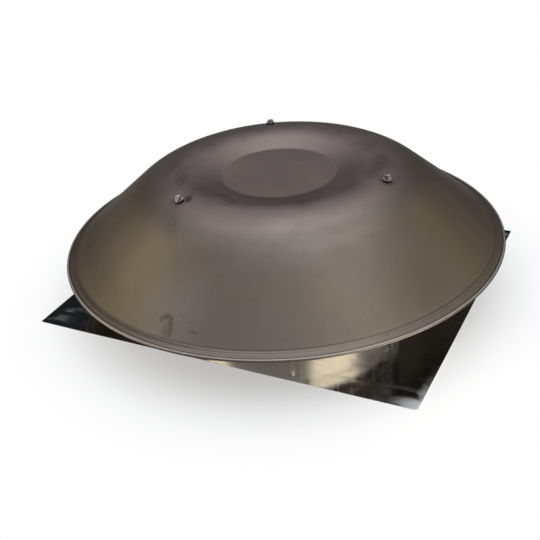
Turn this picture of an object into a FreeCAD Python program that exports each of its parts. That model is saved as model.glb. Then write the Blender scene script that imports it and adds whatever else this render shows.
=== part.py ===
import FreeCAD, Part
import math
import os
import Sketcher
from FreeCAD import Placement, Rotation, Vector

# Static roof vent: a spun metal dome held by three legs over a round throat,
# which stands on a rectangular flashing. Air leaves the roof space through the
# throat, passes a wire screen and drops out between the dome's rim and the roof.
# Lengths are millimetres and angles degrees. The origin is at the centre of the
# flashing's underside, +Z points up and the flashing's long side lies along X.

SIZES = {
    # Flashing: a flat sheet with the throat's neck drawn up round its opening
    "base_length": 533,
    "base_width": 446,
    "base_sheet": 0.8,
    "base_corner": 2,
    "neck_radius": 152.4,
    "neck_height": 14,
    "neck_bend": 3,
    # Throat collar: a rolled strip outside the neck, lapped and riveted, hemmed on top
    "collar_fit": 0.1,
    "collar_sheet": 0.8,
    "collar_top": 88,
    "hem_depth": 12,
    "hem_round": 0.7,
    "seam_azimuth": -64,
    "seam_lap": 25,
    "seam_rivets": 3,
    "seam_rivet_margin": 3,
    "seam_rivet_step": 21,
    "sealant_width": 6,
    "sealant_height": 5,
    "sealant_hollow": 15,
    "sealant_fit": 0.05,
    # Dome: flat disc, dished crown, round shoulder, straight flank, ledge, curled bead
    "dome_sheet": 1.0,
    "dome_height": 172.4,
    "disc_radius": 77.4,
    "dish_angle": 14.5,
    "crest_radius": 132.3,
    "shoulder_radius": 106.5,
    "rim_radius": 300,
    "rim_height": 67.6,
    "bead_radius": 2.1,
    "bead_slot": 0.6,
    "ledge_width": 11,
    "ledge_angle": 24,
    # Legs: bent straps from the collar's wall up to the dome's crown
    "leg_fit": 0.05,
    "leg_sheet": 2,
    "leg_width": 25,
    "leg_foot": 26,
    "leg_corner": 5,
    "leg_bend": 2,
    "leg_clearance": 2.7,
    "joggle_clearance": 6,
    "joggle_rise": 11,
    "tab_gap": 0.15,
    "tab_reach": 12,
    "leg_rivet_margin": 7,
    # Rivets in the legs and in the collar's seam
    "rivet_shank": 2.4,
    "rivet_head": 4.2,
    "rivet_crown": 2.6,
    "rivet_head_height": 1.4,
    "rivet_tail": 3.4,
    "rivet_tail_height": 0.7,
    "rivet_gap": 0.05,
    "hole_clearance": 0.1,
    # Dome fasteners: screw, cup washer and sealing washer above, hexagon nut below
    "screw_inset": 7.75,
    "screw_shank": 2.5,
    "screw_length": 16,
    "screw_flats": 8,
    "screw_head_height": 3.6,
    "screw_flange": 5.6,
    "screw_flange_height": 0.9,
    "sealing_washer_radius": 6,
    "sealing_washer_height": 1.5,
    "cup_washer_radius": 6.4,
    "cup_washer_height": 1,
    "nut_flats": 8,
    "nut_height": 4,
    "nut_gap": 0.12,
    "thread_clearance": 0.02,
    # Screen: welded wire cloth round the air gap, held by a band and three screws
    "screen_fit": 0.1,
    "screen_wire": 1,
    "screen_weld": 0.2,
    "screen_overlap": 17,
    "screen_pitch": 19.05,
    "screen_dome_gap": 0.3,
    "band_fit": 0.05,
    "band_sheet": 0.6,
    "band_height": 11,
    "band_screw_shank": 1.9,
    "band_screw_length": 8,
    "band_screw_flats": 6.3,
    "band_screw_flange": 4.1,
    "band_screw_flange_height": 0.7,
    "band_screw_head_height": 2.4,
}

# The legs stand evenly round the throat, the first one on the +X side
LEG_PLACES = ("right", "rear", "left")

# Angle from a leg to the place midway between it and the next one
MIDWAY = str(180 / len(LEG_PLACES))

# Upright wires in the screen between one leg and the next
WIRES_PER_LEG = 16

# Radii, heights and angles that several pieces share, written in the sheet's names
NECK_OUTER = "(Sizes.neck_radius + Sizes.base_sheet)"
COLLAR_INNER = f"({NECK_OUTER} + Sizes.collar_fit)"
COLLAR_OUTER = f"({COLLAR_INNER} + Sizes.collar_sheet)"
COLLAR_BOTTOM = "(Sizes.base_sheet + Sizes.neck_bend + Sizes.collar_fit)"
SEAM_OUTER = f"({COLLAR_OUTER} + Sizes.collar_sheet)"
SEAM_ANGLE = f"Sizes.seam_lap / {COLLAR_OUTER} * 180 / pi"
SEAM_RIVET_LOW = "(Sizes.neck_height + Sizes.rivet_tail + Sizes.seam_rivet_margin)"
SCREEN_INNER = f"({SEAM_OUTER} + Sizes.screen_fit)"
SCREEN_OUTER = f"({SCREEN_INNER} + 2 * Sizes.screen_wire - Sizes.screen_weld)"
SCREEN_BOTTOM = "(Sizes.collar_top - Sizes.screen_overlap)"
BAND_INNER = f"({SCREEN_OUTER} + Sizes.band_fit)"
BAND_OUTER = f"({BAND_INNER} + Sizes.band_sheet)"
BAND_MIDDLE = f"({SCREEN_BOTTOM} + (Sizes.screen_pitch + Sizes.screen_wire) / 2)"
LEG_INNER = f"({COLLAR_OUTER} + Sizes.leg_fit)"
LEG_UPPER = f"({BAND_OUTER} + Sizes.leg_clearance)"
JOGGLE_END = f"({SCREEN_BOTTOM} - Sizes.joggle_clearance)"
JOGGLE_START = f"({JOGGLE_END} - Sizes.joggle_rise)"
LEG_RIVET_LOW = "(Sizes.leg_foot + Sizes.leg_rivet_margin)"
LEG_RIVET_HIGH = f"({JOGGLE_START} - Sizes.leg_rivet_margin)"
RIVET_HOLE = "Sizes.rivet_shank + Sizes.hole_clearance"
SHOULDER_CENTRE = "(Sizes.dome_height - Sizes.shoulder_radius)"
BEAD_CENTRE = "(Sizes.rim_radius - Sizes.bead_radius)"
LEDGE_RISE = "Sizes.dome_sheet / cos(Sizes.ledge_angle)"
CREASE_ACROSS = f"({BEAD_CENTRE} - Sizes.ledge_width)"
CREASE_UP = f"(Sizes.rim_height + {LEDGE_RISE} + Sizes.ledge_width * tan(Sizes.ledge_angle))"
SCREW_CIRCLE = f"({LEG_UPPER} - Sizes.screw_inset)"
SCREW_OFFSET = f"({SCREW_CIRCLE} - Sizes.crest_radius)"
SCREW_TILT = f"asin({SCREW_OFFSET} / Sizes.shoulder_radius)"
SCREW_SEAT = f"({SHOULDER_CENTRE} + sqrt(Sizes.shoulder_radius ^ 2 - {SCREW_OFFSET} ^ 2))"
WASHERS = "(Sizes.sealing_washer_height + Sizes.cup_washer_height)"
LEG_GRIP = "Sizes.dome_sheet + Sizes.tab_gap + Sizes.leg_sheet + Sizes.nut_gap"
NUT_DEPTH = f"({LEG_GRIP} + Sizes.nut_height)"

document = FreeCAD.newDocument("StaticRoofVent")


def make_sheet():
    """Put every driving dimension in a spreadsheet cell that has its name."""
    sheet = document.addObject("Spreadsheet::Sheet", "Sizes")
    for row, (name, size) in enumerate(SIZES.items(), start=1):
        sheet.set(f"A{row}", name)
        sheet.set(f"B{row}", str(size))
        sheet.setAlias(f"B{row}", name)
    document.recompute()
    return sheet


def measure(item, formula):
    """Return what a formula in the sheet's names comes to."""
    return float(item.evalExpression(formula))


def new_body(label, turn=None):
    """Start a sub-part; turn is the formula of its angle about the vent's axis."""
    body = document.addObject("PartDesign::Body", label)
    body.Label = label
    if turn:
        body.Placement = Placement(Vector(), Rotation(Vector(0, 0, 1), measure(body, turn)))
        body.setExpression("Placement.Rotation.Angle", turn)
    return body


def origin_item(body, role):
    """Find one of the body's own origin planes or axes."""
    return next(item for item in body.Origin.OriginFeatures if item.Role == role)


def add_sketch(body, name, role, shift=("0", "0", "0"), turn_axis=Vector(0, 0, 1), turn="0"):
    """Attach a sketch to an origin plane, shifted and turned in the plane's own axes."""
    sketch = body.newObject("Sketcher::SketchObject", name)
    sketch.AttachmentSupport = [(origin_item(body, role), "")]
    sketch.MapMode = "FlatFace"
    place = Vector(*[measure(sketch, formula) for formula in shift])
    sketch.AttachmentOffset = Placement(place, Rotation(turn_axis, measure(sketch, turn)))
    for axis, formula in zip("xyz", shift):
        if formula != "0":
            sketch.setExpression(f"AttachmentOffset.Base.{axis}", formula)
    if turn != "0":
        sketch.setExpression("AttachmentOffset.Rotation.Angle", turn)
    return sketch


def bind(sketch, constraint, formula):
    """Add a dimension to the sketch and tie it to a formula."""
    index = sketch.addConstraint(constraint)
    sketch.setExpression(f"Constraints[{index}]", formula)


def pin_point(sketch, edge, end, across, up):
    """Fix one end of an edge at a place given by two formulas."""
    for kind, axis, formula in (("DistanceX", -2, across), ("DistanceY", -1, up)):
        if formula == "0":
            sketch.addConstraint(Sketcher.Constraint("PointOnObject", edge, end, axis))
        else:
            size = measure(sketch, formula)
            bind(sketch, Sketcher.Constraint(kind, -1, 1, edge, end, size), formula)


def arc_between(start, end, radius, side):
    """Return the short arc from start to end whose centre is left (1) or right (-1) of it."""
    chord = end - start
    middle = (start + end) * 0.5
    reach = math.sqrt(radius ** 2 - (chord.Length / 2) ** 2)
    centre = middle + Vector(-chord.y, chord.x, 0).normalize() * reach * side
    first, last = (start, end) if side > 0 else (end, start)
    angles = [math.atan2(point.y - centre.y, point.x - centre.x) for point in (first, last)]
    if angles[1] < angles[0]:
        angles[1] += 2 * math.pi
    return Part.ArcOfCircle(Part.Circle(centre, Vector(0, 0, 1), radius), *angles)


def outline(sketch, corners):
    """Draw a closed outline through corners given as formulas.

    A corner is (across, up), and the edge to the next one is straight. A corner
    (across, up, radius, side) starts an arc instead, with its centre on that side.
    """
    places = [Vector(measure(sketch, c[0]), measure(sketch, c[1]), 0) for c in corners]
    ends = []
    for number, corner in enumerate(corners):
        start = places[number]
        finish = places[(number + 1) % len(corners)]
        if len(corner) == 2:
            edge = sketch.addGeometry(Part.LineSegment(start, finish))
            ends.append((edge, 1, 2))
        else:
            radius, side = corner[2:]
            curve = arc_between(start, finish, measure(sketch, radius), side)
            edge = sketch.addGeometry(curve)
            ends.append((edge, 1, 2) if side > 0 else (edge, 2, 1))
    for number, (edge, _, last) in enumerate(ends):
        following, first, _ = ends[(number + 1) % len(ends)]
        sketch.addConstraint(Sketcher.Constraint("Coincident", edge, last, following, first))
    for (edge, first, _), corner in zip(ends, corners):
        pin_point(sketch, edge, first, *corner[:2])
    for (edge, _, _), corner in zip(ends, corners):
        if len(corner) > 2:
            radius = measure(sketch, corner[2])
            bind(sketch, Sketcher.Constraint("Radius", edge, radius), corner[2])


def circle(sketch, across, up, radius):
    """Draw a circle placed and sized by formulas."""
    middle = Vector(measure(sketch, across), measure(sketch, up), 0)
    size = measure(sketch, radius)
    edge = sketch.addGeometry(Part.Circle(middle, Vector(0, 0, 1), size))
    pin_point(sketch, edge, 3, across, up)
    bind(sketch, Sketcher.Constraint("Radius", edge, size), radius)


def rectangle(sketch, left, low, right, high):
    """Draw an upright rectangle between two opposite corners."""
    outline(sketch, [(left, low), (right, low), (right, high), (left, high)])


def hexagon(sketch, flats):
    """Draw a hexagon round the sketch's origin, sized across its flats."""
    reach = f"{flats} / sqrt(3)"
    outline(sketch, [(f"{reach} * cos({60 * k})", f"{reach} * sin({60 * k})") if k % 3
                     else (f"{reach} * cos({60 * k})", "0") for k in range(6)])


def pad(body, name, sketch, length, both_ways=False):
    """Pad a sketch along its normal, or evenly to both sides of it."""
    feature = body.newObject("PartDesign::Pad", name)
    feature.Profile = sketch
    feature.setExpression("Length", length)
    if both_ways:
        feature.SideType = "Symmetric"
    body.Tip = feature
    document.recompute()
    return feature


def pocket_through(body, name, sketch):
    """Cut a sketch through everything on the side that its normal points to."""
    before = body.Shape.Volume
    feature = body.newObject("PartDesign::Pocket", name)
    feature.Profile = sketch
    feature.Type = "ThroughAll"
    feature.Reversed = True
    body.Tip = feature
    document.recompute()
    if feature.Shape.Volume >= before:
        raise RuntimeError(f"{body.Label}: {name} cuts nothing")
    return feature


def spin(body, name, sketch, axis="V_Axis", angle="360", cut=False):
    """Revolve a sketch about one of its axes, adding material or cutting it."""
    before = body.Shape.Volume if cut else 0
    feature = body.newObject("PartDesign::Groove" if cut else "PartDesign::Revolution", name)
    feature.Profile = sketch
    feature.ReferenceAxis = (sketch, [axis])
    if angle == "360":
        feature.Angle = 360
    else:
        feature.Midplane = True
        feature.setExpression("Angle", angle)
    body.Tip = feature
    document.recompute()
    if cut and feature.Shape.Volume >= before:
        raise RuntimeError(f"{body.Label}: {name} cuts nothing")
    return feature


def round_edges(body, name, radius, wanted):
    """Fillet the edges of the body's tip whose middle point passes the given test."""
    base = body.Tip
    edges = [f"Edge{number}" for number, edge in enumerate(base.Shape.Edges, start=1)
             if wanted(edge.valueAt((edge.FirstParameter + edge.LastParameter) / 2))]
    if not edges:
        raise RuntimeError(f"{body.Label}: {name} finds no edge")
    feature = body.newObject("PartDesign::Fillet", name)
    feature.Base = (base, edges)
    feature.setExpression("Radius", radius)
    body.Tip = feature
    document.recompute()
    return feature


def polar_pattern(body, name, copies, angle):
    """Make a pattern of evenly spaced copies over an angle about the vent's axis."""
    pattern = body.newObject("PartDesign::PolarPattern", name)
    pattern.Axis = (origin_item(body, "Z_Axis"), [""])
    pattern.Occurrences = copies
    pattern.Angle = angle
    return pattern


def repeat_round(body, name, features):
    """Repeat features evenly about the vent's axis, once for each leg."""
    pattern = polar_pattern(body, name, len(LEG_PLACES), 360)
    pattern.Originals = features
    body.Tip = pattern
    document.recompute()
    return pattern


def repeat_in_sectors(body, name, features, copies, step):
    """Repeat features by an even angle, and that row of copies once for each leg."""
    row = polar_pattern(body, f"{name}Row", copies, (copies - 1) * step)
    sectors = polar_pattern(body, f"{name}Sectors", len(LEG_PLACES), 360)
    pattern = body.newObject("PartDesign::MultiTransform", name)
    pattern.Originals = features
    pattern.Transformations = [row, sectors]
    body.Tip = pattern
    document.recompute()
    return pattern


def repeat_up(body, name, features, step, copies):
    """Repeat features upwards by an even step."""
    pattern = body.newObject("PartDesign::LinearPattern", name)
    pattern.Originals = features
    pattern.Direction = (origin_item(body, "Z_Axis"), [""])
    pattern.Mode = "Spacing"
    pattern.setExpression("Offset", step)
    pattern.setExpression("Occurrences", copies)
    body.Tip = pattern
    document.recompute()
    return pattern


def near(first, second):
    """Tell whether two lengths agree as closely as an edge search needs."""
    return abs(first - second) < 0.01


def base_flashing():
    """Flat sheet with the opening's edge turned up into a short neck."""
    body = new_body("base_flashing")
    half_length = "Sizes.base_length / 2"
    half_width = "Sizes.base_width / 2"
    bend_radius = f"({NECK_OUTER} + Sizes.neck_bend)"
    bend_top = "(Sizes.base_sheet + Sizes.neck_bend)"
    sheet = add_sketch(body, "FlashingSheet", "XY_Plane")
    rectangle(sheet, f"-{half_length}", f"-{half_width}", half_length, half_width)
    circle(sheet, "0", "0", bend_radius)
    pad(body, "FlashingPad", sheet, "Sizes.base_sheet")
    neck = add_sketch(body, "NeckSection", "XZ_Plane")
    outline(neck, [
        (bend_radius, "0"),
        (bend_radius, "Sizes.base_sheet", "Sizes.neck_bend", -1),
        (NECK_OUTER, bend_top),
        (NECK_OUTER, "Sizes.neck_height"),
        ("Sizes.neck_radius", "Sizes.neck_height"),
        ("Sizes.neck_radius", bend_top, bend_top, 1),
    ])
    spin(body, "Neck", neck)
    across = measure(body, half_length)
    along = measure(body, half_width)
    round_edges(body, "SheetCorners", "Sizes.base_corner",
                lambda point: near(abs(point.x), across) and near(abs(point.y), along))
    return body


def radial_holes(body, name, radius, height, turn="0"):
    """Cut a round hole outwards through the wall on one side of the vent's axis."""
    sketch = add_sketch(body, f"{name}Place", "YZ_Plane", turn_axis=Vector(0, 1, 0), turn=turn)
    circle(sketch, "0", height, radius)
    return pocket_through(body, name, sketch)


def throat_collar():
    """Rolled strip with a lapped seam, a hem turned in at the top, and its holes."""
    body = new_body("throat_collar")
    wall = add_sketch(body, "CollarSection", "XZ_Plane")
    hem_inner = f"({COLLAR_INNER} - Sizes.collar_sheet)"
    hem_bottom = "Sizes.collar_top - Sizes.hem_depth"
    outline(wall, [
        (COLLAR_INNER, COLLAR_BOTTOM),
        (COLLAR_OUTER, COLLAR_BOTTOM),
        (COLLAR_OUTER, "Sizes.collar_top"),
        (hem_inner, "Sizes.collar_top"),
        (hem_inner, hem_bottom),
        (COLLAR_INNER, hem_bottom),
    ])
    spin(body, "CollarWall", wall)
    top = measure(body, "Sizes.collar_top")
    round_edges(body, "HemRound", "Sizes.hem_round", lambda point: near(point.z, top))
    lap = add_sketch(body, "LapSection", "XZ_Plane", turn_axis=Vector(0, 1, 0),
                     turn="Sizes.seam_azimuth")
    rectangle(lap, f"{COLLAR_INNER} + Sizes.collar_sheet / 2", COLLAR_BOTTOM, SEAM_OUTER, hem_bottom)
    spin(body, "SeamLap", lap, angle=SEAM_ANGLE)
    seam = radial_holes(body, "SeamHole", RIVET_HOLE, SEAM_RIVET_LOW, "Sizes.seam_azimuth")
    repeat_up(body, "SeamHoles", [seam], "Sizes.seam_rivet_step", "Sizes.seam_rivets")
    low = radial_holes(body, "LegHoleLow", RIVET_HOLE, LEG_RIVET_LOW)
    high = radial_holes(body, "LegHoleHigh", RIVET_HOLE, LEG_RIVET_HIGH)
    repeat_round(body, "LegHoles", [low, high])
    pilot = radial_holes(body, "BandHole", "Sizes.band_screw_shank + Sizes.thread_clearance",
                         BAND_MIDDLE, MIDWAY)
    repeat_round(body, "BandHoles", [pilot])
    return body


def rivet_section(body, name, inner, grip, height):
    """Draw half of a rivet's section on its radial axis: flat tail, shank, low cone head."""
    sketch = add_sketch(body, name, "XZ_Plane", shift=(inner, height, "0"))
    tail_face = "-Sizes.rivet_gap"
    tail_end = "-(Sizes.rivet_gap + Sizes.rivet_tail_height)"
    crown = f"{grip} + Sizes.rivet_head_height"
    outline(sketch, [
        (tail_end, "0"),
        (crown, "0"),
        (crown, "Sizes.rivet_crown"),
        (grip, "Sizes.rivet_head"),
        (grip, "Sizes.rivet_shank"),
        (tail_face, "Sizes.rivet_shank"),
        (tail_face, "Sizes.rivet_tail"),
        (tail_end, "Sizes.rivet_tail"),
    ])
    return sketch


def seam_rivets():
    """Three rivets through both layers of the collar's lap."""
    body = new_body("seam_rivets", "Sizes.seam_azimuth")
    section = rivet_section(body, "SeamRivetSection", COLLAR_INNER, "2 * Sizes.collar_sheet",
                            SEAM_RIVET_LOW)
    rivet = spin(body, "SeamRivet", section, axis="H_Axis")
    repeat_up(body, "SeamRivets", [rivet], "Sizes.seam_rivet_step", "Sizes.seam_rivets")
    return body


def leg_rivets():
    """Two rivets through the collar's wall and the foot of each leg."""
    body = new_body("leg_rivets")
    grip = "Sizes.collar_sheet + Sizes.leg_fit + Sizes.leg_sheet"
    rivets = []
    for name, height in (("LegRivetLow", LEG_RIVET_LOW), ("LegRivetHigh", LEG_RIVET_HIGH)):
        section = rivet_section(body, f"{name}Section", COLLAR_INNER, grip, height)
        rivets.append(spin(body, name, section, axis="H_Axis"))
    repeat_round(body, "LegRivets", rivets)
    return body


def collar_sealant():
    """Bead of sealant in the corner between the flashing and the collar's foot."""
    body = new_body("collar_sealant", "Sizes.seam_azimuth")
    inner = f"({COLLAR_OUTER} + Sizes.sealant_fit)"
    floor = "(Sizes.base_sheet + Sizes.sealant_fit)"
    bend_edge = f"({NECK_OUTER} + Sizes.neck_bend)"
    bead = add_sketch(body, "SealantSection", "XZ_Plane")
    outline(bead, [
        (bend_edge, floor),
        (f"{bend_edge} + Sizes.sealant_width", floor, "Sizes.sealant_hollow", -1),
        (inner, f"{COLLAR_BOTTOM} + Sizes.sealant_height"),
        (inner, "Sizes.base_sheet + Sizes.neck_bend / 2"),
    ])
    spin(body, "SealantBead", bead)
    notch = add_sketch(body, "LapNotch", "XZ_Plane")
    rectangle(notch, inner, COLLAR_BOTTOM + " - Sizes.sealant_fit",
              f"{SEAM_OUTER} + Sizes.sealant_fit", "Sizes.collar_top")
    spin(body, "SeamNotch", notch, angle=f"{SEAM_ANGLE} + Sizes.sealant_fit", cut=True)
    return body


def shoulder_height(across, radius):
    """Formula of the height at which an arc round the shoulder's centre passes a place."""
    return f"({SHOULDER_CENTRE} + sqrt({radius} ^ 2 - ({across} - Sizes.crest_radius) ^ 2))"


def screw_sketch(body, name, role, depth="0"):
    """Attach a sketch to a dome screw's tilted axis, a depth above the dome's skin."""
    across = f"{SCREW_CIRCLE} + {depth} * sin({SCREW_TILT})"
    height = f"{SCREW_SEAT} + {depth} * cos({SCREW_TILT})"
    if role == "XZ_Plane":
        return add_sketch(body, name, role, (across, height, "0"), Vector(0, 0, 1), f"-{SCREW_TILT}")
    return add_sketch(body, name, role, (across, "0", height), Vector(0, 1, 0), SCREW_TILT)


def screw_hole(body, name, radius):
    """Cut a hole for a dome screw along its tilted axis."""
    sketch = screw_sketch(body, f"{name}Section", "XZ_Plane")
    rectangle(sketch, "0", "-Sizes.screw_length", radius, "Sizes.screw_length")
    return spin(body, name, sketch, cut=True)


def support_leg(place, turn):
    """Bent strap: foot on the collar, joggle out past the screen, tab under the dome."""
    body = new_body(f"leg_{place}", turn)
    upper_outer = f"({LEG_UPPER} + Sizes.leg_sheet)"
    lean = f"atan(({LEG_UPPER} - {LEG_INNER}) / Sizes.joggle_rise)"
    mitre = f"Sizes.leg_sheet * tan({lean} / 2)"
    tab_end = f"({SCREW_CIRCLE} - Sizes.tab_reach)"
    tab_top = "(Sizes.shoulder_radius - Sizes.dome_sheet - Sizes.tab_gap)"
    tab_under = f"({tab_top} - Sizes.leg_sheet)"
    side = add_sketch(body, "LegSide", "XZ_Plane")
    outline(side, [
        (LEG_INNER, "Sizes.leg_foot"),
        (f"{LEG_INNER} + Sizes.leg_sheet", "Sizes.leg_foot"),
        (f"{LEG_INNER} + Sizes.leg_sheet", f"{JOGGLE_START} - {mitre}"),
        (upper_outer, f"{JOGGLE_END} - {mitre}"),
        (upper_outer, shoulder_height(upper_outer, tab_top), tab_top, 1),
        (tab_end, shoulder_height(tab_end, tab_top)),
        (tab_end, shoulder_height(tab_end, tab_under), tab_under, -1),
        (LEG_UPPER, shoulder_height(LEG_UPPER, tab_under)),
        (LEG_UPPER, JOGGLE_END),
        (LEG_INNER, JOGGLE_START),
    ])
    pad(body, "LegStrap", side, "Sizes.leg_width", both_ways=True)
    inner_x = measure(body, LEG_UPPER)
    outer_x = measure(body, upper_outer)
    top = measure(body, shoulder_height(LEG_UPPER, tab_under))
    round_edges(body, "InnerBend", "Sizes.leg_bend",
                lambda point: near(point.x, inner_x) and near(point.z, top) and near(point.y, 0))
    round_edges(body, "OuterBend", "Sizes.leg_bend + Sizes.leg_sheet",
                lambda point: near(point.x, outer_x) and point.z > top and near(point.y, 0))
    half_width = measure(body, "Sizes.leg_width / 2")
    foot = measure(body, "Sizes.leg_foot")
    tab = measure(body, tab_end)
    round_edges(body, "StrapCorners", "Sizes.leg_corner",
                lambda point: near(abs(point.y), half_width)
                and (near(point.z, foot) or near(point.x, tab)))
    radial_holes(body, "RivetHoleLow", RIVET_HOLE, LEG_RIVET_LOW)
    radial_holes(body, "RivetHoleHigh", RIVET_HOLE, LEG_RIVET_HIGH)
    screw_hole(body, "TabHole", "Sizes.screw_shank + Sizes.hole_clearance")
    return body


def dome_skin(inset):
    """Corners of the dome's outer form from the axis to the bead, set in by a depth.

    The form is a flat disc, a straight dish, a round shoulder, a straight flank
    and a ledge. The shoulder is tangent to the dish and to the flank, so the
    flank's slope follows from the shoulder and the crease where the ledge begins.
    """
    radius = f"(Sizes.shoulder_radius - {inset})"
    away = f"({CREASE_ACROSS} - Sizes.crest_radius)"
    drop = f"({SHOULDER_CENTRE} - {CREASE_UP})"
    reach = f"sqrt({away} ^ 2 + {drop} ^ 2)"
    slope = f"(90 deg - acos(Sizes.shoulder_radius / {reach}) + atan({drop} / {away}))"
    ledge = "Sizes.ledge_angle * 1 deg"
    dish_foot = f"(Sizes.crest_radius - {radius} * sin(Sizes.dish_angle))"
    dish_top = f"({SHOULDER_CENTRE} + {radius} * cos(Sizes.dish_angle))"
    disc_edge = f"(Sizes.disc_radius + {inset} * tan(Sizes.dish_angle / 2))"
    disc_height = f"({dish_top} - ({dish_foot} - {disc_edge}) * tan(Sizes.dish_angle))"
    bend = f"(({slope} + {ledge}) / 2)"
    crease_depth = f"{inset} / cos(({slope} - {ledge}) / 2)"
    end_across = f"({BEAD_CENTRE} + Sizes.dome_sheet / 2)"
    end_up = (f"({CREASE_UP} - {inset} / cos(Sizes.ledge_angle)"
              f" - ({end_across} - {CREASE_ACROSS}) * tan(Sizes.ledge_angle))")
    return [
        ("0", disc_height),
        (disc_edge, disc_height),
        (dish_foot, dish_top),
        (f"Sizes.crest_radius + {radius} * sin({slope})", f"{SHOULDER_CENTRE} + {radius} * cos({slope})"),
        (f"{CREASE_ACROSS} - {crease_depth} * sin({bend})", f"{CREASE_UP} - {crease_depth} * cos({bend})"),
        (end_across, end_up),
    ]


def dome():
    """Spun hood: one revolved skin with a curled bead at the rim and three holes."""
    body = new_body("dome")
    section = add_sketch(body, "DomeSection", "XZ_Plane")
    outside = dome_skin("0")
    outside[2] += ("Sizes.shoulder_radius", -1)
    inside = dome_skin("Sizes.dome_sheet")[::-1]
    inside[2] += ("Sizes.shoulder_radius - Sizes.dome_sheet", 1)
    outline(section, outside + inside)
    spin(body, "DomeSkin", section)
    curl = add_sketch(body, "BeadSection", "XZ_Plane")
    circle(curl, BEAD_CENTRE, "Sizes.rim_height", "Sizes.bead_radius")
    circle(curl, BEAD_CENTRE, "Sizes.rim_height", "Sizes.bead_radius - Sizes.dome_sheet")
    spin(body, "Bead", curl)
    slot = add_sketch(body, "BeadSlotSection", "XZ_Plane")
    rectangle(slot, f"{BEAD_CENTRE} - 2 * Sizes.bead_radius", "Sizes.rim_height - Sizes.bead_slot",
              BEAD_CENTRE, "Sizes.rim_height")
    spin(body, "BeadSlot", slot, cut=True)
    hole = screw_hole(body, "DomeHole", "Sizes.screw_shank + Sizes.hole_clearance")
    repeat_round(body, "DomeHoles", [hole])
    return body


def dome_screws():
    """Hexagon flange screws that clamp the dome to the legs' tabs."""
    body = new_body("dome_screws")
    section = screw_sketch(body, "ScrewSection", "XZ_Plane", WASHERS)
    outline(section, [
        ("0", "-Sizes.screw_length"),
        ("Sizes.screw_shank", "-Sizes.screw_length"),
        ("Sizes.screw_shank", "0"),
        ("Sizes.screw_flange", "0"),
        ("Sizes.screw_flange", "Sizes.screw_flange_height"),
        ("0", "Sizes.screw_flange_height"),
    ])
    shank = spin(body, "ScrewShank", section)
    head = screw_sketch(body, "ScrewHead", "XY_Plane", WASHERS)
    hexagon(head, "Sizes.screw_flats")
    prism = pad(body, "ScrewHexagon", head, "Sizes.screw_head_height")
    repeat_round(body, "DomeScrews", [shank, prism])
    return body


def washer_set(label, radius, height, depth):
    """Three flat washers on the dome screws, a depth above the dome's skin."""
    body = new_body(label)
    section = screw_sketch(body, "WasherSection", "XZ_Plane", depth)
    rectangle(section, "Sizes.screw_shank + Sizes.thread_clearance", "0", radius, height)
    ring = spin(body, "WasherRing", section)
    repeat_round(body, "Washers", [ring])
    return body


def leg_nuts():
    """Hexagon nuts under the legs' tabs."""
    body = new_body("leg_nuts")
    section = screw_sketch(body, "NutSection", "XY_Plane", f"-{NUT_DEPTH}")
    hexagon(section, "Sizes.nut_flats")
    circle(section, "0", "0", "Sizes.screw_shank + Sizes.thread_clearance")
    nut = pad(body, "Nut", section, "Sizes.nut_height")
    repeat_round(body, "Nuts", [nut])
    return body


def wire_screen():
    """Welded wire cloth: hoops inside, uprights outside, snipped round each leg's tab."""
    body = new_body("wire_screen")
    hoop_outer = f"({SCREEN_INNER} + Sizes.screen_wire)"
    under_dome = "(Sizes.shoulder_radius - Sizes.dome_sheet - Sizes.screen_dome_gap)"
    tall = f"{shoulder_height(SCREEN_OUTER, under_dome)} - {SCREEN_BOTTOM}"
    hoop_room = f"{SCREW_SEAT} - {NUT_DEPTH} - Sizes.screen_wire - {SCREEN_BOTTOM}"
    hoop_gaps = f"floor(({hoop_room}) / Sizes.screen_pitch)"
    short = f"{hoop_gaps} * Sizes.screen_pitch + Sizes.screen_wire"
    step = 360 / len(LEG_PLACES) / WIRES_PER_LEG
    for name, length, first, copies in (("Tall", tall, 1.5, WIRES_PER_LEG - 2),
                                        ("Short", short, -0.5, 2)):
        place = add_sketch(body, f"{name}WireSection", "XY_Plane", ("0", "0", SCREEN_BOTTOM),
                           turn=str(first * step))
        rectangle(place, f"{hoop_outer} - Sizes.screen_weld", "-Sizes.screen_wire / 2",
                  SCREEN_OUTER, "Sizes.screen_wire / 2")
        wire = pad(body, f"{name}Wire", place, length)
        repeat_in_sectors(body, f"{name}Wires", [wire], copies, step)
    section = add_sketch(body, "HoopSection", "XZ_Plane")
    rectangle(section, SCREEN_INNER, SCREEN_BOTTOM, hoop_outer, f"{SCREEN_BOTTOM} + Sizes.screen_wire")
    hoop = spin(body, "Hoop", section)
    repeat_up(body, "Hoops", [hoop], "Sizes.screen_pitch", f"{hoop_gaps} + 1")
    return body


def screen_band():
    """Flat strip round the screen's lower edge, pierced for its screws."""
    body = new_body("screen_band")
    section = add_sketch(body, "BandSection", "XZ_Plane")
    rectangle(section, BAND_INNER, f"{BAND_MIDDLE} - Sizes.band_height / 2", BAND_OUTER,
              f"{BAND_MIDDLE} + Sizes.band_height / 2")
    spin(body, "BandStrip", section)
    hole = radial_holes(body, "BandHole", "Sizes.band_screw_shank + Sizes.hole_clearance",
                        BAND_MIDDLE, MIDWAY)
    repeat_round(body, "BandHoles", [hole])
    return body


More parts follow.
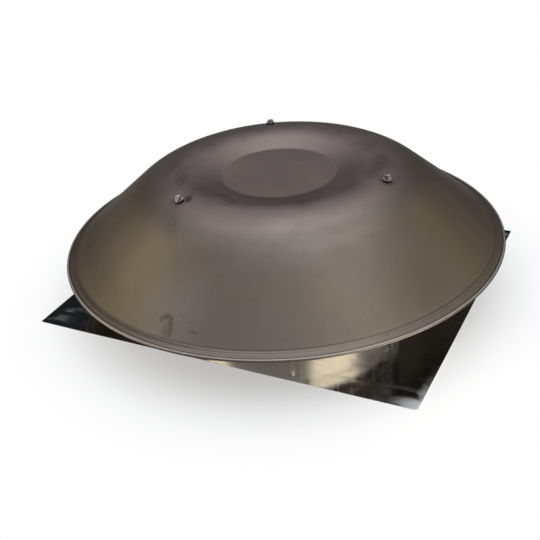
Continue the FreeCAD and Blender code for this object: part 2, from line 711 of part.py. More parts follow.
def band_screws():
    """Short hexagon screws through the band and the screen into the collar."""
    body = new_body("band_screws", MIDWAY)
    section = add_sketch(body, "BandScrewSection", "XZ_Plane", (BAND_OUTER, BAND_MIDDLE, "0"))
    outline(section, [
        ("-Sizes.band_screw_length", "0"),
        ("Sizes.band_screw_flange_height", "0"),
        ("Sizes.band_screw_flange_height", "Sizes.band_screw_flange"),
        ("0", "Sizes.band_screw_flange"),
        ("0", "Sizes.band_screw_shank"),
        ("Sizes.band_screw_shank - Sizes.band_screw_length", "Sizes.band_screw_shank"),
    ])
    shank = spin(body, "BandScrewShank", section, axis="H_Axis")
    head = add_sketch(body, "BandScrewHead", "YZ_Plane", ("0", BAND_MIDDLE, BAND_OUTER))
    hexagon(head, "Sizes.band_screw_flats")
    prism = pad(body, "BandScrewHexagon", head, "Sizes.band_screw_head_height")
    repeat_round(body, "BandScrews", [shank, prism])
    return body


def check_document():
    """Stop if any object failed to build."""
    for item in document.Objects:
        if "Invalid" in item.State or "Error" in item.State:
            raise RuntimeError(f"{item.Label} failed to build: {item.State}")


def export(bodies):
    """Check each sub-part and write it to its own file."""
    os.makedirs("parts", exist_ok=True)
    for body in bodies:
        if body.Shape.isNull() or not body.Shape.isValid() or not body.Shape.Solids:
            raise RuntimeError(f"{body.Label} has no valid solid")
    for body in bodies:
        body.Shape.exportStep(f"parts/{body.Label}.step")
        print(body.Label, len(body.Shape.Solids), round(body.Shape.Volume, 1))


make_sheet()
leg_turns = [str(360 / len(LEG_PLACES) * number) for number in range(len(LEG_PLACES))]
subparts = [
    base_flashing(),
    throat_collar(),
    seam_rivets(),
    collar_sealant(),
    *[support_leg(place, turn) for place, turn in zip(LEG_PLACES, leg_turns)],
    leg_rivets(),
    dome(),
    dome_screws(),
    washer_set("cup_washers", "Sizes.cup_washer_radius", "Sizes.cup_washer_height",
               "Sizes.sealing_washer_height"),
    washer_set("sealing_washers", "Sizes.sealing_washer_radius", "Sizes.sealing_washer_height", "0"),
    leg_nuts(),
    wire_screen(),
    screen_band(),
    band_screws(),
]
document.recompute()
check_document()
export(subparts)
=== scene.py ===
import math

import bmesh
import bpy
import numpy as np
from mathutils import Matrix, Vector


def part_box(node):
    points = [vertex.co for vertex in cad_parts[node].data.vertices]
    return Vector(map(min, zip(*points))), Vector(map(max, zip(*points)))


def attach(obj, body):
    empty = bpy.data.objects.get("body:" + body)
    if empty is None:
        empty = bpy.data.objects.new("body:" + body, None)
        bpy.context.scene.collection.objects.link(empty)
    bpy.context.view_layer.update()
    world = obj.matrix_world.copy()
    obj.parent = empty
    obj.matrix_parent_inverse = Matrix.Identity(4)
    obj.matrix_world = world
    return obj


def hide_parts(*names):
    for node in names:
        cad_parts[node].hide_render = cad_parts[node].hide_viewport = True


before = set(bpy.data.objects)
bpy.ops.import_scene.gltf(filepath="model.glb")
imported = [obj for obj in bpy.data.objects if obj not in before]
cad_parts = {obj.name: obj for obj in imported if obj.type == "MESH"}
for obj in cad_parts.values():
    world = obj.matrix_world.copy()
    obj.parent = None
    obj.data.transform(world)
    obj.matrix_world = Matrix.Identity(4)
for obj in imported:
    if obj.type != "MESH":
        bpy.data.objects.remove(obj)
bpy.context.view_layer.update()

# A static roof vent: a spun metal dome on three legs over a screened round throat,
# which stands on a rectangular flashing. Lengths are metres, in the CAD model's
# frame: +Z is up, and the origin is at the centre of the flashing's underside.


# Base flashing
# A limp sheet of bare mill-finish aluminium that lies on the roof, its round opening
# drawn up into a short neck. It lies in slight waves, its corners lift a little, and
# the mill's rollers left streaks along its length.

flashing_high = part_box("base_flashing")[1]
flashing_sheet = 0.0008
flashing_corner = 0.002
neck_radius = 0.1524
neck_bend = 0.003
neck_outer = neck_radius + flashing_sheet
corner_lift = 0.0004
wave_height = 0.0003
wave_length = 0.13
run_spacing = 0.004
corner_steps = 4
neck_bend_steps = 6
sheet_steps = 32
underside_steps = 11
merge_distance = 1e-7


def along(start, end, steps):
    """Return evenly spaced places from start up to, but without, the end."""
    share = np.arange(steps)[:, None] / steps
    return np.asarray(start, float) * (1 - share) + np.asarray(end, float) * share


def bent_line(corners, bends):
    """Follow straight runs round a closed outline whose corners are bent to radii.

    The arc of a bend touches both runs at the bend's radius divided by the tangent
    of half the corner's angle. Points on the runs keep to the spacing.
    """
    corners = np.asarray(corners, float)
    stops = []
    for number, (corner, bend) in enumerate(zip(corners, bends)):
        if bend == 0:
            stops.append(corner[None])
            continue
        back = corners[number - 1] - corner
        ahead = corners[(number + 1) % len(corners)] - corner
        back /= np.linalg.norm(back)
        ahead /= np.linalg.norm(ahead)
        half = math.acos(back @ ahead) / 2
        middle = (back + ahead) / np.linalg.norm(back + ahead)
        across = (ahead - back) / np.linalg.norm(ahead - back)
        swing = np.linspace(half - math.pi / 2, math.pi / 2 - half, corner_steps + 1)[:, None]
        centre = corner + middle * bend / math.sin(half)
        stops.append(centre + bend * (across * np.sin(swing) - middle * np.cos(swing)))
    runs = []
    for number, arc in enumerate(stops):
        start, end = arc[-1], stops[(number + 1) % len(stops)][0]
        steps = max(1, math.ceil(np.linalg.norm(end - start) / run_spacing))
        runs += [arc[:-1], along(start, end, steps)]
    return np.vstack(runs)


def skin(name, grids, wrap=True, crease=32):
    """Turn grids of points, places round an axis by places on a profile, into one mesh.

    Each grid closes round its axis. Its profile closes on itself when wrap is set,
    and otherwise starts and ends on the axis, where its points become one. Edges
    sharper than the crease, in degrees, are shaded sharp.
    """
    faces, first = [], 0
    for grid in grids:
        rows, columns = grid.shape[:2]
        index = first + np.arange(rows * columns).reshape(rows, columns)
        index = np.vstack([index, index[:1]])
        if wrap:
            index = np.hstack([index, index[:, :1]])
        corners = [index[:-1, :-1], index[1:, :-1], index[1:, 1:], index[:-1, 1:]]
        faces.append(np.stack(corners, axis=-1).reshape(-1, 4))
        first += rows * columns
    mesh = bpy.data.meshes.new(name)
    mesh.from_pydata(np.vstack([grid.reshape(-1, 3) for grid in grids]), [], np.vstack(faces))
    merged = bmesh.new()
    merged.from_mesh(mesh)
    bmesh.ops.remove_doubles(merged, verts=merged.verts, dist=merge_distance)
    merged.to_mesh(mesh)
    merged.free()
    mesh.shade_smooth()
    mesh.set_sharp_from_angle(angle=math.radians(crease))
    piece = bpy.data.objects.new(name, mesh)
    bpy.context.scene.collection.objects.link(piece)
    return piece


def stand_for(piece, finish, node):
    """Let a new piece with its finish stand for the CAD node that it details."""
    piece.data.materials.append(finish)
    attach(piece, "root")
    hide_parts(node)


def new_finish(name, **plain):
    """Start a material, with plain values on its Principled shader's own sockets."""
    finish = bpy.data.materials.new(name)
    finish.use_nodes = True
    shader = finish.node_tree.nodes["Principled BSDF"]
    for socket, value in plain.items():
        shader.inputs[socket.replace("_", " ")].default_value = value
    return finish, finish.node_tree, shader


def plug(tree, node, plugs):
    """Plug values or other nodes' outputs into a node's sockets."""
    for socket, value in plugs.items():
        if isinstance(value, bpy.types.NodeSocket):
            tree.links.new(value, node.inputs[socket])
        else:
            node.inputs[socket].default_value = value
    return node


def add(tree, kind, plugs, **settings):
    """Add a node with its settings and plug in its sockets."""
    node = tree.nodes.new("ShaderNode" + kind)
    for setting, value in settings.items():
        setattr(node, setting, value)
    return plug(tree, node, plugs)


def sums(tree, operation, *values):
    """Work out a sum, product or other function of values that change over a surface."""
    return add(tree, "Math", dict(enumerate(values)), operation=operation).outputs[0]


def arrows(tree, operation, *values):
    """Work out a sum, product or other arrow from arrows or places."""
    return add(tree, "VectorMath", dict(enumerate(values)), operation=operation).outputs[0]


def length(tree, arrow):
    """Return an arrow's length."""
    return add(tree, "VectorMath", {0: arrow}, operation="LENGTH").outputs["Value"]


def in_plan(tree, place):
    """Return a place as seen from above, its height left out."""
    return arrows(tree, "MULTIPLY", place, (1.0, 1.0, 0.0))


def mix(tree, share, first, second):
    """Blend two colours by a share."""
    return add(tree, "Mix", {0: share, 6: first, 7: second}, data_type="RGBA").outputs[2]


def ramp(tree, value, low, high, start=0.0, end=1.0):
    """Turn a value between low and high into one between start and end, smoothly."""
    plugs = {"Value": value, "From Min": low, "From Max": high, "To Min": start, "To Max": end}
    return add(tree, "MapRange", plugs, interpolation_type="SMOOTHSTEP").outputs[0]


def noise(tree, place, scale, detail=3.0, roughness=0.55, distortion=0.0):
    """Return a cloudy value between 0 and 1, mostly near a half."""
    plugs = {"Vector": place, "Scale": scale, "Detail": detail, "Roughness": roughness,
             "Distortion": distortion}
    return add(tree, "TexNoise", plugs).outputs[0]


def own_place(tree):
    """Return the place on the piece, in its own coordinates."""
    return add(tree, "TexCoord", {}).outputs["Object"]


def stretched(tree, place, scale, turn=(0.0, 0.0, 0.0)):
    """Turn a pattern and squeeze it along each axis."""
    return add(tree, "Mapping", {"Vector": place, "Scale": scale, "Rotation": turn}).outputs[0]


def bumps(tree, height, strength, distance):
    """Turn heights into a normal for a shader."""
    plugs = {"Height": height, "Strength": strength, "Distance": distance}
    return add(tree, "Bump", plugs).outputs[0]


def new_group(name, inputs, outputs):
    """Start a shader node group with a place and plain numbers in, and plain numbers out."""
    group = bpy.data.node_groups.new(name, "ShaderNodeTree")
    group.interface.new_socket("Place", in_out="INPUT", socket_type="NodeSocketVector")
    for direction, labels in (("INPUT", inputs), ("OUTPUT", outputs)):
        for label in labels:
            group.interface.new_socket(label, in_out=direction, socket_type="NodeSocketFloat")
    return group, group.nodes.new("NodeGroupInput").outputs


def place_group(tree, group, place, **values):
    """Place a shared group in a material, with the material's own values for its inputs."""
    node = tree.nodes.new("ShaderNodeGroup")
    node.node_tree = group
    named = {socket.replace("_", " "): value for socket, value in values.items()}
    return plug(tree, node, {"Place": place, **named}).outputs


def rolled_streaks():
    """Group of the marks that mill rollers leave: a colour share, a roughness and a height.

    Fine and coarse noise, squeezed across the rolling direction, make the streaks,
    and a broad cloud makes the tarnish between them.
    """
    group, given = new_group("Rolled streaks", ("Scale", "Smooth", "Dull"),
                             ("Tarnish", "Roughness", "Height"))
    place, scale = given["Place"], given["Scale"]
    coarse = noise(group, stretched(group, place, (1.0, 14.0, 14.0)), scale, 5.0, 0.6, 0.4)
    fine = noise(group, stretched(group, place, (1.5, 60.0, 60.0)), scale, 2.0)
    cloud = noise(group, place, sums(group, "MULTIPLY", scale, 0.7), 4.0, 0.6, 0.8)
    streak = sums(group, "ADD", sums(group, "MULTIPLY", coarse, 0.6),
                  sums(group, "MULTIPLY", fine, 0.4))
    both = sums(group, "MULTIPLY", ramp(group, streak, 0.35, 0.65), ramp(group, cloud, 0.35, 0.7))
    rough = ramp(group, both, 0.0, 1.0, given["Smooth"], given["Dull"])
    plug(group, group.nodes.new("NodeGroupOutput"),
         {"Tarnish": both, "Roughness": rough, "Height": streak})
    return group


def oval_distance():
    """Group that measures how far a place is from an oval blotch's centre.

    The measure is taken in plan and turned about the vertical, and is 1 at the
    blotch's half-sizes.
    """
    group, given = new_group("Oval distance", ("Centre X", "Centre Y", "Across", "Along", "Turn"),
                             ("Away",))
    centre = add(group, "CombineXYZ", {"X": given["Centre X"], "Y": given["Centre Y"]}).outputs[0]
    shift = arrows(group, "SUBTRACT", in_plan(group, given["Place"]), centre)
    square = add(group, "VectorRotate", {"Vector": shift, "Angle": given["Turn"]},
                 rotation_type="Z_AXIS").outputs[0]
    size = add(group, "CombineXYZ", {"X": given["Across"], "Y": given["Along"], "Z": 1.0}).outputs[0]
    away = length(group, arrows(group, "DIVIDE", square, size))
    plug(group, group.nodes.new("NodeGroupOutput"), {"Away": away})
    return group


streak_group = rolled_streaks()
oval_group = oval_distance()


def oval(tree, place, centre, size, turn=0.0):
    """Place the oval group for one blotch, and return how far off its centre a place is."""
    return place_group(tree, oval_group, place, Centre_X=centre[0], Centre_Y=centre[1],
                       Across=size[0], Along=size[1], Turn=turn)["Away"]


def flashing_grid():
    """Points of the flashing: places round its edge by places on its section.

    Each section lies on a ray from the axis. It runs up the sheet's edge, inwards
    along the top, up the neck outside, down it inside and out along the underside.
    The sheet's flat part blends evenly from the neck's circle to the rectangle, and
    two rows of low waves cross on it.
    """
    half_length, half_width = flashing_high.x, flashing_high.y
    corners = [(half_length, half_width), (-half_length, half_width),
               (-half_length, -half_width), (half_length, -half_width)]
    edge = bent_line(corners, [flashing_corner] * 4)
    ray = edge / np.linalg.norm(edge, axis=1)[:, None]
    foot = neck_outer + neck_bend
    turn = np.radians(np.linspace(90, 0, neck_bend_steps + 1))[:-1]
    inner_bend = neck_bend + flashing_sheet
    spread = np.concatenate([[1.0, 1.0], np.linspace(1, 0, sheet_steps + 2)[1:-1],
                             np.zeros(2 * neck_bend_steps + 3),
                             np.linspace(0, 1, underside_steps + 1)[:-1]])
    radius = np.concatenate([
        np.full(sheet_steps + 2, foot), foot - neck_bend * np.cos(turn), [neck_outer, neck_radius],
        foot - inner_bend * np.cos(turn[::-1]), np.full(underside_steps + 1, foot)])
    height = np.concatenate([
        [0, flashing_sheet], np.full(sheet_steps, flashing_sheet),
        flashing_sheet + neck_bend * (1 - np.sin(turn)), [flashing_high.z] * 2,
        inner_bend * (1 - np.sin(turn[::-1])), np.zeros(underside_steps + 1)])
    flat = ray[:, None] * radius[:, None] + spread[:, None] * (edge - ray * foot)[:, None]
    x, y = flat[..., 0], flat[..., 1]
    lift = corner_lift * (x / half_length) ** 2 * (y / half_width) ** 2
    swell = 2 * math.pi / wave_length
    waves = (2 + np.sin(swell * (x + 0.4 * y)) + np.sin(swell * (0.7 * y - 0.5 * x) + 1.3)) / 4
    rise = (lift + wave_height * waves) * spread ** 1.5
    return np.dstack([flat, height + rise])


def lay_out(piece):
    """Give a piece a map whose first direction is the rolling direction, along X."""
    mesh = piece.data
    corner = np.empty(len(mesh.loops), np.int32)
    mesh.loops.foreach_get("vertex_index", corner)
    place = np.empty(len(mesh.vertices) * 3, np.float32)
    mesh.vertices.foreach_get("co", place)
    spots = place.reshape(-1, 3)[corner, :2]
    mesh.uv_layers.new(name="Rolling").data.foreach_set("uv", spots.ravel())


def flashing_finish():
    """Bright rolled aluminium, hazed in streaks and smoky curls, with a rough painted reflection at a
    corner.
    """
    bright = (0.75, 0.74, 0.73, 1)
    tarnished = (0.56, 0.54, 0.51, 1)
    # Pale colour of a painted reflection on the sheet
    reflection_pale = (0.76, 0.76, 0.76, 1)
    finish, tree, shader = new_finish("Mill finish sheet", Metallic=1.0, Anisotropic=0.5,
                                      Anisotropic_Rotation=0.25)
    place = own_place(tree)
    marks = place_group(tree, streak_group, place, Scale=9.0, Smooth=0.07, Dull=0.22)
    curls = noise(tree, stretched(tree, place, (1.0, 2.6, 1.0)), 11.0, 2.0, 0.5, 1.6)
    smoke = ramp(tree, curls, 0.5, 0.72)
    # A rougher, paler patch at the front corner and a fainter one along the right edge: the paler colour
    # is a painted reflection.
    corner = oval(tree, place, (0.258, -0.216), (0.04, 0.022))
    ragged = sums(tree, "ADD", corner, sums(tree, "MULTIPLY", marks["Height"], 0.6))
    edge = oval(tree, place, (0.267, -0.185), (0.012, 0.06))
    reflection_patch = sums(tree, "MAXIMUM", ramp(tree, ragged, 1.3, 0.4), ramp(tree, edge, 1.2, 0.3, 0.0, 0.6))
    colour = mix(tree, marks["Tarnish"], bright, tarnished)
    colour = mix(tree, reflection_patch, colour, reflection_pale)
    rough = sums(tree, "ADD", marks["Roughness"], sums(tree, "MULTIPLY", smoke, 0.18))
    rough = sums(tree, "ADD", rough, sums(tree, "MULTIPLY", reflection_patch, 0.4))
    tangent = add(tree, "Tangent", {}, direction_type="UV_MAP", uv_map="Rolling").outputs[0]
    normal = bumps(tree, marks["Height"], 0.12, 0.0005)
    plug(tree, shader, {"Base Color": colour, "Roughness": rough, "Normal": normal,
                        "Tangent": tangent})
    return finish


flashing = skin("flashing_sheet", [flashing_grid()])
lay_out(flashing)
stand_for(flashing, flashing_finish(), "base_flashing")


# Throat collar
# A strip of the same sheet, rolled into a ring that is pressed over the neck. Its ends
# lap and are riveted, and its top edge is folded in as a hem. The strip's rolling
# marks run round it.

collar_low, collar_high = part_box("throat_collar")
collar_fit = 0.0001
collar_sheet = 0.0008
collar_inner = neck_outer + collar_fit
collar_outer = collar_inner + collar_sheet
hem_depth = 0.012
hem_round = 0.0007
seam_azimuth = math.radians(-64)
seam_lap = 0.025
lap_step = 0.002
same_place = 1e-6
collar_steps = 360


def turned(profile, angles):
    """Carry a profile of radius and height round the Z axis."""
    radius, height = np.asarray(profile, float).T
    across = np.outer(np.cos(angles), radius)
    deep = np.outer(np.sin(angles), radius)
    return np.dstack([across, deep, np.broadcast_to(height, across.shape)])


def circle(count):
    """Even angles once round."""
    return np.arange(count) * 2 * math.pi / count


def collar_grid():
    """Points of the collar, its outer wall stepped out over the width of the lap."""
    hem_inner = collar_inner - collar_sheet
    hem_bottom = collar_high.z - hem_depth
    corners = [(collar_inner, collar_low.z), (collar_outer, collar_low.z),
               (collar_outer, collar_high.z), (hem_inner, collar_high.z),
               (hem_inner, hem_bottom), (collar_inner, hem_bottom)]
    profile = bent_line(corners, [0, 0, hem_round, hem_round, 0, 0])
    half = seam_lap / collar_outer / 2
    edges = np.array([-half - lap_step, -half, half, half + lap_step])
    angles = np.sort(np.concatenate([circle(collar_steps), (seam_azimuth + edges) % (2 * math.pi)]))
    grid = turned(profile, angles)
    away = np.abs((angles - seam_azimuth + math.pi) % (2 * math.pi) - math.pi)
    lap = np.clip((half + lap_step - away) / lap_step, 0, 1)
    outside = (profile[:, 0] > collar_outer - same_place) & (profile[:, 1] < hem_bottom)
    grow = 1 + np.outer(lap, outside) * collar_sheet / collar_outer
    grid[..., :2] *= grow[..., None]
    return grid


def collar_finish():
    """Rolled aluminium whose streaks run round the axis."""
    warm = (0.8, 0.76, 0.68, 1)
    tarnished = (0.66, 0.6, 0.5, 1)
    finish, tree, shader = new_finish("Collar strip", Metallic=1.0, Anisotropic=1.0,
                                      Anisotropic_Rotation=0.25)
    upright = stretched(tree, own_place(tree), (1.0, 1.0, 1.0), (0, math.pi / 2, 0))
    marks = place_group(tree, streak_group, upright, Scale=14.0, Smooth=0.44, Dull=0.52)
    tangent = add(tree, "Tangent", {}, direction_type="RADIAL", axis="Z").outputs[0]
    plug(tree, shader, {"Base Color": mix(tree, marks["Tarnish"], warm, tarnished),
                        "Roughness": marks["Roughness"],
                        "Normal": bumps(tree, marks["Height"], 0.1, 0.0005), "Tangent": tangent})
    return finish


collar_strip = collar_finish()
stand_for(skin("collar_strip", [collar_grid()]), collar_strip, "throat_collar")


# Seam rivets
# Three aluminium blind rivets that close the collar's lap, with round heads outside
# and flattened tails inside.

rivet_shank = 0.0024
rivet_head = 0.0042
rivet_head_height = 0.0014
rivet_tail = 0.0034
rivet_tail_height = 0.0007
rivet_gap = 0.00005
mandrel_radius = 0.0009
mandrel_floor = 0.0008
mandrel_depth = 0.0005
rivet_steps = 24
seam_rivets_low, seam_rivets_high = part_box("seam_rivets")
seam_outer = collar_outer + collar_sheet


def put(grid, spot):
    """Move a grid of points to a spot given by a matrix."""
    moved = np.array(spot)
    return grid @ moved[:3, :3].T + moved[:3, 3]


def rivet_grid(face, grip, azimuth, height):
    """Points of a rivet: a round head on a face, and a tail behind the grip.

    The head is a cap of a ball whose radius follows from its width and height. The
    hollow in its middle is where the mandrel broke off.
    """
    ball = (rivet_head ** 2 + rivet_head_height ** 2) / (2 * rivet_head_height)
    width = np.linspace(rivet_head, mandrel_radius, 9)
    cap = np.column_stack([width, np.sqrt(ball ** 2 - width ** 2) - ball + rivet_head_height])
    tail = -grip - rivet_gap
    tail_end = tail - rivet_tail_height
    hollow = rivet_head_height - mandrel_depth
    profile = np.vstack([
        [(0, tail_end), (rivet_tail * 0.8, tail_end), (rivet_tail, tail - rivet_tail_height * 0.6),
         (rivet_tail, tail), (rivet_shank, tail), (rivet_shank, 0)],
        cap, [(mandrel_floor, hollow), (0, hollow)]])
    upright = turned(profile, circle(rivet_steps))
    spot = Matrix.Rotation(azimuth, 4, "Z") @ Matrix.Translation((face, 0, height))
    return put(upright, spot @ Matrix.Rotation(math.pi / 2, 4, "Y"))


def clouded_wear():
    """Group of soft patches of wear: a share, a roughness that follows it, and a height.

    Three parts of a broad cloud and one part of a fine grain make the patches.
    """
    group, given = new_group("Clouded wear", ("Scale", "Smooth", "Dull"),
                             ("Share", "Roughness", "Height"))
    place, scale = given["Place"], given["Scale"]
    cloud = noise(group, place, scale, 5.0, 0.6, 0.6)
    grain = noise(group, place, sums(group, "MULTIPLY", scale, 12.0), 2.0)
    both = sums(group, "ADD", sums(group, "MULTIPLY", cloud, 0.75), sums(group, "MULTIPLY", grain, 0.25))
    share = ramp(group, both, 0.38, 0.62)
    plug(group, group.nodes.new("NodeGroupOutput"), {
        "Share": share, "Roughness": ramp(group, share, 0.0, 1.0, given["Smooth"], given["Dull"]),
        "Height": both})
    return group


wear_group = clouded_wear()


def worn_finish(name, dark, light, smooth, dull, scale, relief=0.0003, **plain):
    """Finish whose patches run from one colour and roughness to another."""
    finish, tree, shader = new_finish(name, **plain)
    wear = place_group(tree, wear_group, own_place(tree), Scale=scale, Smooth=smooth, Dull=dull)
    plug(tree, shader, {"Base Color": mix(tree, wear["Share"], dark, light),
                        "Roughness": wear["Roughness"],
                        "Normal": bumps(tree, wear["Height"], 0.15, relief)})
    return finish


rivet_metal = worn_finish("Rivet aluminium", (0.5, 0.5, 0.5, 1), (0.74, 0.74, 0.74, 1), 0.38, 0.58,
                          400.0, Metallic=1.0)
seam_rivet_heights = np.linspace(seam_rivets_low.z + rivet_head, seam_rivets_high.z - rivet_head, 3)
seam_rivet_set = skin("seam_rivet_set", [
    rivet_grid(seam_outer, 2 * collar_sheet, seam_azimuth, height) for height in seam_rivet_heights
], wrap=False)
stand_for(seam_rivet_set, rivet_metal, "seam_rivets")


# Sealant
# A bead of grey sealant run into the corner between the flashing and the collar, and
# smoothed by hand, so its width and height wander a little.

sealant_low, sealant_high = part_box("collar_sealant")
sealant_fit = 0.00005
sealant_dip = 0.0011
sealant_wander = 0.0005
sealant_steps = 420


def sealant_grid():
    """Points of the bead: a hollow-faced corner section that wanders round the collar.

    A long, a middling and a short wave round the collar add up to the wander. Its
    size is taken off the bead, so the bead never grows past its box.
    """
    foot = neck_outer + neck_bend
    wall = collar_outer + sealant_fit
    lean = np.linspace(0, 1, 9)[1:-1]
    face_radius = sealant_high.x + (wall - sealant_high.x) * lean
    face_height = sealant_low.z + (sealant_high.z - sealant_low.z) * lean
    hollow = sealant_dip * np.sin(math.pi * lean)
    profile = np.vstack([
        [(foot, sealant_low.z), (sealant_high.x, sealant_low.z)],
        np.column_stack([face_radius - hollow, face_height - hollow]),
        [(wall, sealant_high.z), (wall, flashing_sheet + neck_bend / 2)]])
    angles = circle(sealant_steps)
    grid = turned(profile, angles)
    wander = -np.abs(0.5 * np.sin(angles * 5 + 1) + 0.3 * np.sin(angles * 23)
                     + 0.2 * np.sin(angles * 61))
    loose = np.zeros(len(profile))
    loose[1:-2] = 1
    grid[..., :2] *= 1 + sealant_wander * np.outer(wander, loose)[..., None] / wall
    grid[..., 2] += sealant_wander * np.outer(wander, loose * (profile[:, 1] > sealant_low.z))
    return grid


grey_sealant = worn_finish("Sealant", (0.3, 0.3, 0.29, 1), (0.46, 0.46, 0.44, 1), 0.5, 0.75, 60.0,
                           0.0015, Specular_IOR_Level=0.35)
stand_for(skin("sealant_bead", [sealant_grid()]), grey_sealant, "collar_sealant")


# Legs and their rivets
# Three bent straps of zinc-coated steel, each held to the collar by two rivets. The
# zinc has dulled in soft patches.

leg_nodes = ("leg_right", "leg_rear", "leg_left")
leg_azimuths = circle(len(leg_nodes))
leg_turn = 2 * math.pi / len(leg_nodes)
leg_rivets_low, leg_rivets_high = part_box("leg_rivets")
leg_sheet = 0.002
leg_face = leg_rivets_high.x - rivet_head_height
leg_rivet_heights = (leg_rivets_low.z + rivet_head, leg_rivets_high.z - rivet_head)


def dress(nodes, finish):
    """Give CAD nodes that stay as they are a finish."""
    for name in nodes:
        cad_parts[name].data.materials.clear()
        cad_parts[name].data.materials.append(finish)


leg_zinc = worn_finish("Zinc strap", (0.4, 0.41, 0.42, 1), (0.62, 0.63, 0.64, 1), 0.3, 0.5, 40.0,
                       Metallic=1.0)
dress(leg_nodes, leg_zinc)
leg_rivet_set = skin("leg_rivet_set", [
    rivet_grid(leg_face, leg_face - collar_inner, azimuth, height)
    for azimuth in leg_azimuths for height in leg_rivet_heights
], wrap=False)
stand_for(leg_rivet_set, rivet_metal, "leg_rivets")


# Dome
# A hood spun from 1 mm aluminium: a flat disc, a dish, a round shoulder, a straight
# flank, a flatter ledge marked by the spinner's roller, and an edge curled into a
# bead. It is sprayed satin brown, and the paint is stained, scuffed and unevenly dull,
# with shade and highlights painted into it.

dome_low, dome_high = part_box("dome")
dome_sheet = 0.001
disc_radius = 0.0774
disc_bend = 0.02
dish_angle = math.radians(14.5)
crest_radius = 0.1323
shoulder_radius = 0.1065
bead_radius = 0.0021
ledge_width = 0.011
ledge_angle = math.radians(24)
outer_foot_inset = 0.0013
inner_foot_inset = 0.0019
roller_ripple = 0.00012
roller_pitch = 0.0034
screw_circle = 0.1524
dimple_depth = 0.0003
dimple_width = 0.013
crown_height = 0.1
dome_steps = 400

bead_centre = np.array([dome_high.x - bead_radius, dome_low.z + bead_radius])
crease = np.array([
    bead_centre[0] - ledge_width,
    bead_centre[1] + dome_sheet / math.cos(ledge_angle) + ledge_width * math.tan(ledge_angle)])
shoulder_centre = np.array([crest_radius, dome_high.z - shoulder_radius])
crease_away = crease - shoulder_centre
flank_angle = (math.pi / 2 - math.acos(shoulder_radius / np.linalg.norm(crease_away))
               - math.atan2(crease_away[1], crease_away[0]))


def dome_line(depth, foot_inset):
    """Half of the dome's form from the ledge's foot to the axis, set in by a depth.

    The shoulder's arc turns from the flank's slope to the dish's slope, and a hollow
    arc joins the dish to the disc. The crease between flank and ledge lies on the
    line that halves its angle. The roller's marks are ripples on the ledge, gone at
    both its edges.
    """
    radius = shoulder_radius - depth
    fold = depth / math.cos((flank_angle - ledge_angle) / 2)
    lean = (flank_angle + ledge_angle) / 2
    fold_place = crease - fold * np.array([math.sin(lean), math.cos(lean)])
    foot_across = bead_centre[0] - foot_inset
    foot_drop = (foot_across - fold_place[0]) * math.tan(ledge_angle)
    foot = np.array([foot_across, fold_place[1] - foot_drop])
    turn = np.linspace(flank_angle, -dish_angle, 40)[:, None]
    shoulder = shoulder_centre + radius * np.hstack([np.sin(turn), np.cos(turn)])
    disc_edge = disc_radius + depth * math.tan(dish_angle / 2)
    disc_drop = (shoulder[-1, 0] - disc_edge) * math.tan(dish_angle)
    disc = np.array([disc_edge, shoulder[-1, 1] - disc_drop])
    bend = disc_bend + depth
    bend_centre = disc + [-bend * math.tan(dish_angle / 2), bend]
    sweep = np.linspace(dish_angle, 0, 7)[:, None]
    hollow = bend_centre + bend * np.hstack([np.sin(sweep), -np.cos(sweep)])
    ledge = along(foot, fold_place, 30)
    reach = (ledge[:, 0] - foot[0]) / (fold_place[0] - foot[0])
    ripple = np.cos(ledge[:, 0] * 2 * math.pi / roller_pitch) - 1
    ledge[:, 1] += roller_ripple * ripple * np.sin(math.pi * reach) ** 0.5
    return np.vstack([ledge, along(fold_place, shoulder[0], 14), shoulder,
                      along(shoulder[-1], hollow[0], 6)[1:], hollow[:-1],
                      along(hollow[-1], (0, disc[1]), 8), [(0, disc[1])]])


def dome_grid():
    """Points of the dome's skin: outside from rim to axis, inside back, then the bead.

    The bead is a round curl between the ledge's two faces. The metal is pulled in a
    little under each screw, as a low bell-shaped dimple.
    """
    outside = dome_line(0.0, outer_foot_inset)
    inside = dome_line(dome_sheet, inner_foot_inset)[::-1]
    start, end = (math.atan2(up, across) for across, up in (inside[-1] - bead_centre,
                                                            outside[0] - bead_centre))
    turn = np.linspace(start, end + 2 * math.pi, 26)[1:-1, None]
    bead = bead_centre + bead_radius * np.hstack([np.cos(turn), np.sin(turn)])
    profile = np.vstack([outside, inside, bead])
    grid = turned(profile, circle(dome_steps))
    crown = profile[:, 1] > crown_height
    for azimuth in leg_azimuths:
        spot = screw_circle * np.array([math.cos(azimuth), math.sin(azimuth)])
        away = np.linalg.norm(grid[..., :2] - spot, axis=-1)
        grid[..., 2] -= dimple_depth * np.exp(-(away / dimple_width) ** 2) * crown
    return grid


# Turn that lays a blotch's second half-size along the camera's view
view_turn = -0.47

# Each mark is a centre, a half-size each way, a turn and a strength. The first five
# make one hooked run, the next is a faint streak, the next is a painted shadow cast by
# the left screw's head beside it, and the others lie by the screws.
stains_and_shadow = [((-0.0303, -0.2683), (0.0036, 0.0034), 0.0, 0.4),
          ((-0.0252, -0.2658), (0.0054, 0.0028), 0.0, 0.5),
          ((-0.0182, -0.2705), (0.003, 0.006), -0.3, 0.5),
          ((-0.0152, -0.2785), (0.0034, 0.0072), -0.1, 0.42),
          ((-0.0198, -0.2785), (0.0062, 0.0075), 0.0, 0.24),
          ((0.014, -0.2752), (0.0058, 0.0014), 0.0, 0.35),
          ((-0.0664, -0.1265), (0.0046, 0.0085), view_turn, 0.8),
          ((-0.076, -0.133), (0.012, 0.012), view_turn, 0.3),
          ((0.1524, 0.0), (0.011, 0.014), view_turn, 0.35),
          ((0.162, 0.015), (0.003, 0.006), view_turn, 0.3)]

